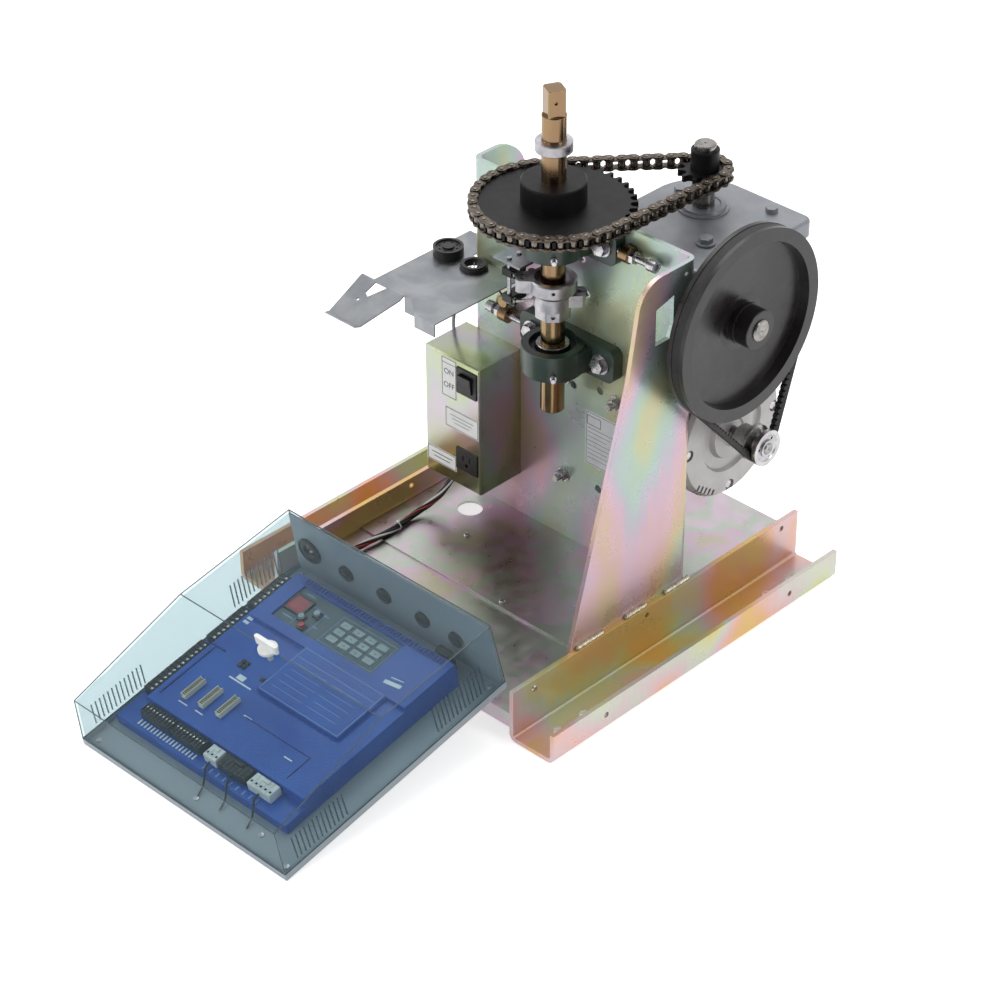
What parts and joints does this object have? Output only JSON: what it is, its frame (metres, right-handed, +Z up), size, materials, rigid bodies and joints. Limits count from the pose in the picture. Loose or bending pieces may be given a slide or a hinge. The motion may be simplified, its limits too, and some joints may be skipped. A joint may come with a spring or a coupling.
{
  "type": "swing gate operator",
  "caption": "Open swing gate operator: motor, belt, worm reducer and roller chain turn an upright output shaft; a clear-lidded control box is hinged to the frame's front.",
  "frame": {"origin": "centre of the anchor hole pattern on the mounting plane, under the rails", "axes": "+Z up along the output shaft, +X from the left rail to the right rail, +Y from the control box at the front to the back"},
  "size_m": [0.5804, 0.9461, 0.74],
  "materials": {
    "zinc_sheet": "yellow zinc plate",
    "zinc_gold": "yellow zinc plate, deeper gold",
    "bright_zinc": "bright zinc plate",
    "green_paint": "dark green gloss enamel",
    "black_oxide": "black oxide",
    "chain_steel": "oiled, dark bronze",
    "machined": "machined steel",
    "reducer_paint": "silver grey enamel",
    "motor_paint": "grey enamel",
    "belt_rubber": "black rubber and fabric",
    "galvanised": "galvanised sheet",
    "black_plastic": "black moulded plastic",
    "clear_cover": "smoky clear plastic",
    "grey_base": "grey moulded plastic",
    "board_blue": "blue moulded housing",
    "red_display": "red filter",
    "red_button": "red cap",
    "key_plastic": "pale keys",
    "connector_plastic": "green terminal blocks",
    "cable_black": "black jacket",
    "cable_grey": "grey jacket"
  },
  "bodies": {
    "frame": {"bearing_bolts": "bright_zinc", "bearing_seals": "black_plastic", "control_harness": "cable_black", "deck_front_pan": "zinc_sheet", "deck_plate": "zinc_sheet", "equipment_shelf": "galvanised", "frame_plate": "zinc_sheet", "grease_fittings": "bright_zinc", "hinge_frame_leaves": "bright_zinc", "jack_screws": "bright_zinc", "limit_switches": "black_plastic", "motor_base": "zinc_sheet", "motor_bells": "motor_paint", "motor_bolts": "bright_zinc", "motor_shell": "motor_paint", "panel_bosses": "zinc_gold", "pillow_block_lower": "green_paint", "pillow_block_upper": "green_paint", "power_box": "zinc_sheet", "power_fittings": "black_plastic", "rail_left": "zinc_sheet", "rail_right": "zinc_sheet", "reducer_caps": "reducer_paint", "reducer_case": "reducer_paint", "reducer_shelf": "zinc_sheet", "roller_chain": "chain_steel", "sheet_screws": "bright_zinc", "shelf_fittings": "black_plastic", "shelf_leads": "cable_black", "switch_bracket": "bright_zinc", "switch_lead": "cable_black", "v_belt": "belt_rubber"},
    "worm_input": {"driven_sheave": "black_oxide", "worm_shaft": "machined"},
    "motor_rotor": {"motor_shaft": "machined", "drive_sheave": "bright_zinc"},
    "reducer_output": {"reducer_output_shaft": "machined", "pinion_sprocket": "black_oxide"},
    "output": {"output_shaft": "zinc_gold", "shaft_collar": "bright_zinc", "limit_cam_upper": "bright_zinc", "limit_cam_lower": "bright_zinc", "bearing_races": "machined", "drive_sprocket": "black_oxide"},
    "rocker": {"power_rocker": "black_plastic"},
    "lever_upper": {"switch_lever_upper": "machined"},
    "lever_lower": {"switch_lever_lower": "machined"},
    "control_box": {"control_base": "grey_base", "cable_entry_plugs": "black_plastic", "board_housing": "board_blue", "display_window": "red_display", "keypad": "key_plastic", "board_connectors": "connector_plastic", "hinge_box_leaves": "bright_zinc", "board_leads": "cable_grey"},
    "cover": {"control_cover": "clear_cover"},
    "latch": {"cover_latch": "black_plastic"},
    "reset_key": {"reset_button": "red_button"},
    "open_key": {"open_button": "key_plastic"},
    "close_key": {"close_button": "key_plastic"}
  },
  "joints": [
    {"name": "driven_pulley_turn", "type": "hinge", "parent": "frame", "child": "worm_input", "pos_m": [0.2475, 0.11, 0.457], "axis": [-1, 0, 0], "range_deg": [0, 20000], "deforming": ["v_belt"]},
    {"name": "motor_turn", "type": "hinge", "parent": "frame", "child": "motor_rotor", "pos_m": [0.2475, 0.1545, 0.254], "axis": [-1, 0, 0], "range_deg": [0, 114500]},
    {"name": "reducer_shaft_turn", "type": "hinge", "parent": "frame", "child": "reducer_output", "pos_m": [0.0971, 0.20244, 0.578], "axis": [0, 0, 1], "range_deg": [0, 334]},
    {"name": "output_shaft_turn", "type": "hinge", "parent": "frame", "child": "output", "pos_m": [0.017, 0.0081, 0.578], "axis": [0, 0, 1], "range_deg": [0, 100.5], "deforming": ["roller_chain"]},
    {"name": "power_rocker_tilt", "type": "hinge", "parent": "frame", "child": "rocker", "pos_m": [-0.1037, -0.0257, 0.277], "axis": [1, 0, 0], "range_deg": [-14, 0]},
    {"name": "upper_switch_lever", "type": "hinge", "parent": "frame", "child": "lever_upper", "pos_m": [-0.031, -0.013, 0.46525], "axis": [0, 0, 1], "range_deg": [0, 12], "stiffness_Nm_per_rad": 0.03, "springref_deg": -14.32},
    {"name": "lower_switch_lever", "type": "hinge", "parent": "frame", "child": "lever_lower", "pos_m": [-0.031, -0.013, 0.427], "axis": [0, 0, 1], "range_deg": [0, 12], "stiffness_Nm_per_rad": 0.03, "springref_deg": -14.32},
    {"name": "control_box_hinge", "type": "hinge", "parent": "frame", "child": "control_box", "pos_m": [0.022, -0.282, 0.07216], "axis": [-1, 0, 0], "range_deg": [0, 60], "deforming": ["control_harness"]},
    {"name": "cover_lift", "type": "slide", "parent": "control_box", "child": "cover", "axis": [0, -0.2079, 0.9781], "range_m": [0, 0.12]},
    {"name": "latch_turn", "type": "hinge", "parent": "cover", "child": "latch", "pos_m": [0.007, -0.49049, 0.14879], "axis": [0, -0.2079, 0.9781], "range_deg": [0, 90]},
    {"name": "reset_press", "type": "slide", "parent": "control_box", "child": "reset_key", "axis": [0, 0.2079, -0.9781], "range_m": [0, 0.0015], "stiffness_N_per_m": 300, "springref_m": -0.003},
    {"name": "open_press", "type": "slide", "parent": "control_box", "child": "open_key", "axis": [0, 0.2079, -0.9781], "range_m": [0, 0.0015], "stiffness_N_per_m": 300, "springref_m": -0.003},
    {"name": "close_press", "type": "slide", "parent": "control_box", "child": "close_key", "axis": [0, 0.2079, -0.9781], "range_m": [0, 0.0015], "stiffness_N_per_m": 300, "springref_m": -0.003}
  ],
  "couplings": [
    {"joint": "motor_turn", "follows": "driven_pulley_turn", "ratio": 5.7207},
    {"joint": "reducer_shaft_turn", "follows": "driven_pulley_turn", "ratio": 0.016667},
    {"joint": "output_shaft_turn", "follows": "driven_pulley_turn", "ratio": 0.005}
  ]
}
